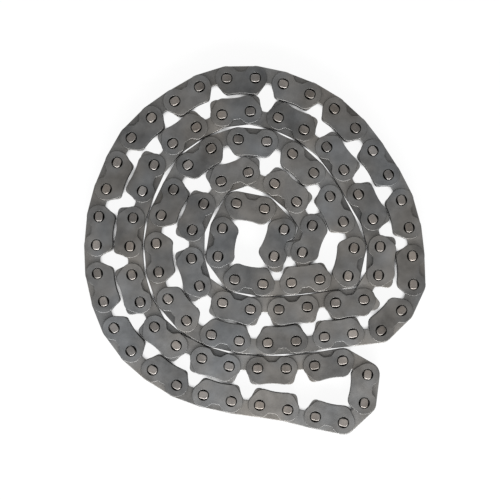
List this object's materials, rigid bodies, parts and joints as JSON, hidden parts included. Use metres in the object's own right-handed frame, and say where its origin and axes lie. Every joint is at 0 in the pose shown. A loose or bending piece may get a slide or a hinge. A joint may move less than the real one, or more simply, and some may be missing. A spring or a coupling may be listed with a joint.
{
  "type": "timing chain",
  "caption": "Endless inverted-tooth timing chain with outer guide plates, laid up flat as a double coil, its outer turn free to unroll link by link.",
  "frame": {"origin": "middle of the laid-up coil, on the surface that the pin ends rest on", "axes": "+Z along the pins, +Y along the coil's longer side, +X to the right of it"},
  "size_m": [0.114, 0.1232, 0.0078],
  "materials": {
    "guide_plate_steel": "blanked and tumbled hardened steel with burnished edges",
    "toothed_plate_steel": "blanked and tumbled hardened steel, ground on the tooth flanks",
    "pin_steel": "hardened pin steel, riveted over at the ends"
  },
  "bodies": {
    "laid_up_coil": {"entry_turn_guide_plates": "guide_plate_steel", "entry_turn_middle_plates": "toothed_plate_steel", "entry_turn_toothed_plates": "toothed_plate_steel", "entry_turn_pins": "pin_steel", "second_turn_lower_guide_plates": "guide_plate_steel", "second_turn_lower_middle_plates": "toothed_plate_steel", "second_turn_lower_toothed_plates": "toothed_plate_steel", "second_turn_lower_pins": "pin_steel", "second_turn_upper_guide_plates": "guide_plate_steel", "second_turn_upper_middle_plates": "toothed_plate_steel", "second_turn_upper_toothed_plates": "toothed_plate_steel", "second_turn_upper_pins": "pin_steel", "inner_turn_guide_plates": "guide_plate_steel", "inner_turn_middle_plates": "toothed_plate_steel", "inner_turn_toothed_plates": "toothed_plate_steel", "inner_turn_pins": "pin_steel", "inner_return_guide_plates": "guide_plate_steel", "inner_return_middle_plates": "toothed_plate_steel", "inner_return_toothed_plates": "toothed_plate_steel", "inner_return_pins": "pin_steel", "outer_return_guide_plates": "guide_plate_steel", "outer_return_middle_plates": "toothed_plate_steel", "outer_return_toothed_plates": "toothed_plate_steel", "outer_return_pins": "pin_steel"},
    "upper_tail_link_01": {"upper_tail_01_guide_link": "guide_plate_steel"},
    "upper_tail_link_02": {"upper_tail_02_toothed_link": "toothed_plate_steel"},
    "upper_tail_link_03": {"upper_tail_03_guide_link": "guide_plate_steel"},
    "upper_tail_link_04": {"upper_tail_04_toothed_link": "toothed_plate_steel"},
    "upper_tail_link_05": {"upper_tail_05_guide_link": "guide_plate_steel"},
    "upper_tail_link_06": {"upper_tail_06_toothed_link": "toothed_plate_steel"},
    "upper_tail_link_07": {"upper_tail_07_guide_link": "guide_plate_steel"},
    "upper_tail_link_08": {"upper_tail_08_toothed_link": "toothed_plate_steel"},
    "upper_tail_link_09": {"upper_tail_09_guide_link": "guide_plate_steel"},
    "upper_tail_link_10": {"upper_tail_10_toothed_link": "toothed_plate_steel"},
    "upper_tail_link_11": {"upper_tail_11_guide_link": "guide_plate_steel"},
    "upper_tail_link_12": {"upper_tail_12_toothed_link": "toothed_plate_steel"},
    "upper_tail_link_13": {"upper_tail_13_guide_link": "guide_plate_steel"},
    "upper_tail_link_14": {"upper_tail_14_toothed_link": "toothed_plate_steel"},
    "upper_tail_link_15": {"upper_tail_15_guide_link": "guide_plate_steel"},
    "upper_tail_link_16": {"upper_tail_16_toothed_link": "toothed_plate_steel"},
    "lower_tail_link_01": {"lower_tail_01_toothed_link": "toothed_plate_steel"},
    "lower_tail_link_02": {"lower_tail_02_guide_link": "guide_plate_steel"},
    "lower_tail_link_03": {"lower_tail_03_toothed_link": "toothed_plate_steel"},
    "lower_tail_link_04": {"lower_tail_04_guide_link": "guide_plate_steel"},
    "lower_tail_link_05": {"lower_tail_05_toothed_link": "toothed_plate_steel"},
    "lower_tail_link_06": {"lower_tail_06_guide_link": "guide_plate_steel"},
    "lower_tail_link_07": {"lower_tail_07_toothed_link": "toothed_plate_steel"},
    "lower_tail_link_08": {"lower_tail_08_guide_link": "guide_plate_steel"},
    "lower_tail_link_09": {"lower_tail_09_toothed_link": "toothed_plate_steel"},
    "lower_tail_link_10": {"lower_tail_10_guide_link": "guide_plate_steel"},
    "lower_tail_link_11": {"lower_tail_11_toothed_link": "toothed_plate_steel"},
    "lower_tail_link_12": {"lower_tail_12_guide_link": "guide_plate_steel"},
    "lower_tail_link_13": {"lower_tail_13_toothed_link": "toothed_plate_steel"},
    "lower_tail_link_14": {"lower_tail_14_guide_link": "guide_plate_steel"}
  },
  "joints": [
    {"name": "upper_tail_pivot_01", "type": "hinge", "parent": "laid_up_coil", "child": "upper_tail_link_01", "pos_m": [0.04451, 0.0252, 0], "axis": [0, 0, -1], "range_deg": [0, 10.6]},
    {"name": "upper_tail_pivot_02", "type": "hinge", "parent": "upper_tail_link_01", "child": "upper_tail_link_02", "pos_m": [0.03935, 0.0332, 0], "axis": [0, 0, -1], "range_deg": [0, 9.9]},
    {"name": "upper_tail_pivot_03", "type": "hinge", "parent": "upper_tail_link_02", "child": "upper_tail_link_03", "pos_m": [0.03352, 0.04073, 0], "axis": [0, 0, -1], "range_deg": [0, 14.6]},
    {"name": "upper_tail_pivot_04", "type": "hinge", "parent": "upper_tail_link_03", "child": "upper_tail_link_04", "pos_m": [0.02651, 0.04718, 0], "axis": [0, 0, -1], "range_deg": [0, 16.7]},
    {"name": "upper_tail_pivot_05", "type": "hinge", "parent": "upper_tail_link_04", "child": "upper_tail_link_05", "pos_m": [0.01834, 0.05208, 0], "axis": [0, 0, -1], "range_deg": [0, 14.8]},
    {"name": "upper_tail_pivot_06", "type": "hinge", "parent": "upper_tail_link_05", "child": "upper_tail_link_06", "pos_m": [0.00945, 0.05551, 0], "axis": [0, 0, -1], "range_deg": [0, 14.3]},
    {"name": "upper_tail_pivot_07", "type": "hinge", "parent": "upper_tail_link_06", "child": "upper_tail_link_07", "pos_m": [0.00013, 0.05746, 0], "axis": [0, 0, -1], "range_deg": [0, 17.5]},
    {"name": "upper_tail_pivot_08", "type": "hinge", "parent": "upper_tail_link_07", "child": "upper_tail_link_08", "pos_m": [-0.00939, 0.05735, 0], "axis": [0, 0, -1], "range_deg": [0, 21.6]},
    {"name": "upper_tail_pivot_09", "type": "hinge", "parent": "upper_tail_link_08", "child": "upper_tail_link_09", "pos_m": [-0.01849, 0.05452, 0], "axis": [0, 0, -1], "range_deg": [0, 17.8]},
    {"name": "upper_tail_pivot_10", "type": "hinge", "parent": "upper_tail_link_09", "child": "upper_tail_link_10", "pos_m": [-0.02673, 0.04975, 0], "axis": [0, 0, -1], "range_deg": [0, 10.1]},
    {"name": "upper_tail_pivot_11", "type": "hinge", "parent": "upper_tail_link_10", "child": "upper_tail_link_11", "pos_m": [-0.03452, 0.04426, 0], "axis": [0, 0, -1], "range_deg": [0, 14.8]},
    {"name": "upper_tail_pivot_12", "type": "hinge", "parent": "upper_tail_link_11", "child": "upper_tail_link_12", "pos_m": [-0.04125, 0.03752, 0], "axis": [0, 0, -1], "range_deg": [0, 20.3]},
    {"name": "upper_tail_pivot_13", "type": "hinge", "parent": "upper_tail_link_12", "child": "upper_tail_link_13", "pos_m": [-0.04597, 0.02925, 0], "axis": [0, 0, -1], "range_deg": [0, 12.5]},
    {"name": "upper_tail_pivot_14", "type": "hinge", "parent": "upper_tail_link_13", "child": "upper_tail_link_14", "pos_m": [-0.04958, 0.02043, 0], "axis": [0, 0, -1], "range_deg": [0, 12.4]},
    {"name": "upper_tail_pivot_15", "type": "hinge", "parent": "upper_tail_link_14", "child": "upper_tail_link_15", "pos_m": [-0.05202, 0.01123, 0], "axis": [0, 0, -1], "range_deg": [0, 14.7]},
    {"name": "upper_tail_pivot_16", "type": "hinge", "parent": "upper_tail_link_15", "child": "upper_tail_link_16", "pos_m": [-0.05288, 0.00174, 0], "axis": [0, 0, -1], "range_deg": [0, 12.2]},
    {"name": "lower_tail_pivot_01", "type": "hinge", "parent": "laid_up_coil", "child": "lower_tail_link_01", "pos_m": [0.02928, -0.03683, 0], "axis": [0, 0, 1], "range_deg": [0, 25]},
    {"name": "lower_tail_pivot_02", "type": "hinge", "parent": "lower_tail_link_01", "child": "lower_tail_link_02", "pos_m": [0.03759, -0.04148, 0], "axis": [0, 0, 1], "range_deg": [0, 67.7]},
    {"name": "lower_tail_pivot_03", "type": "hinge", "parent": "lower_tail_link_02", "child": "lower_tail_link_03", "pos_m": [0.03645, -0.05094, 0], "axis": [0, 0, 1], "range_deg": [0, 39.9]},
    {"name": "lower_tail_pivot_04", "type": "hinge", "parent": "lower_tail_link_03", "child": "lower_tail_link_04", "pos_m": [0.02951, -0.05746, 0], "axis": [0, 0, 1], "range_deg": [0, 54.8]},
    {"name": "lower_tail_pivot_05", "type": "hinge", "parent": "lower_tail_link_04", "child": "lower_tail_link_05", "pos_m": [0.02018, -0.05554, 0], "axis": [0, 0, 1], "range_deg": [0, 7.5]},
    {"name": "lower_tail_pivot_06", "type": "hinge", "parent": "lower_tail_link_05", "child": "lower_tail_link_06", "pos_m": [0.01094, -0.05321, 0], "axis": [0, 0, 1], "range_deg": [0, 2]},
    {"name": "lower_tail_pivot_07", "type": "hinge", "parent": "lower_tail_link_06", "child": "lower_tail_link_07", "pos_m": [0.00154, -0.05167, 0], "axis": [0, 0, 1], "range_deg": [0, 3.6]},
    {"name": "lower_tail_pivot_08", "type": "hinge", "parent": "lower_tail_link_07", "child": "lower_tail_link_08", "pos_m": [-0.0079, -0.05037, 0], "axis": [0, 0, 1], "range_deg": [0, 9.7]},
    {"name": "lower_tail_pivot_09", "type": "hinge", "parent": "lower_tail_link_08", "child": "lower_tail_link_09", "pos_m": [-0.01719, -0.04829, 0], "axis": [0, 0, 1], "range_deg": [0, 12.8]},
    {"name": "lower_tail_pivot_10", "type": "hinge", "parent": "lower_tail_link_09", "child": "lower_tail_link_10", "pos_m": [-0.02612, -0.04497, 0], "axis": [0, 0, 1], "range_deg": [0, 16.9]},
    {"name": "lower_tail_pivot_11", "type": "hinge", "parent": "lower_tail_link_10", "child": "lower_tail_link_11", "pos_m": [-0.03417, -0.03989, 0], "axis": [0, 0, 1], "range_deg": [0, 13.9]},
    {"name": "lower_tail_pivot_12", "type": "hinge", "parent": "lower_tail_link_11", "child": "lower_tail_link_12", "pos_m": [-0.04134, -0.03361, 0], "axis": [0, 0, 1], "range_deg": [0, 17.4]},
    {"name": "lower_tail_pivot_13", "type": "hinge", "parent": "lower_tail_link_12", "child": "lower_tail_link_13", "pos_m": [-0.04698, -0.02594, 0], "axis": [0, 0, 1], "range_deg": [0, 19.8]},
    {"name": "lower_tail_pivot_14", "type": "hinge", "parent": "lower_tail_link_13", "child": "lower_tail_link_14", "pos_m": [-0.05047, -0.01708, 0], "axis": [0, 0, 1], "range_deg": [0, 13.9]}
  ]
}
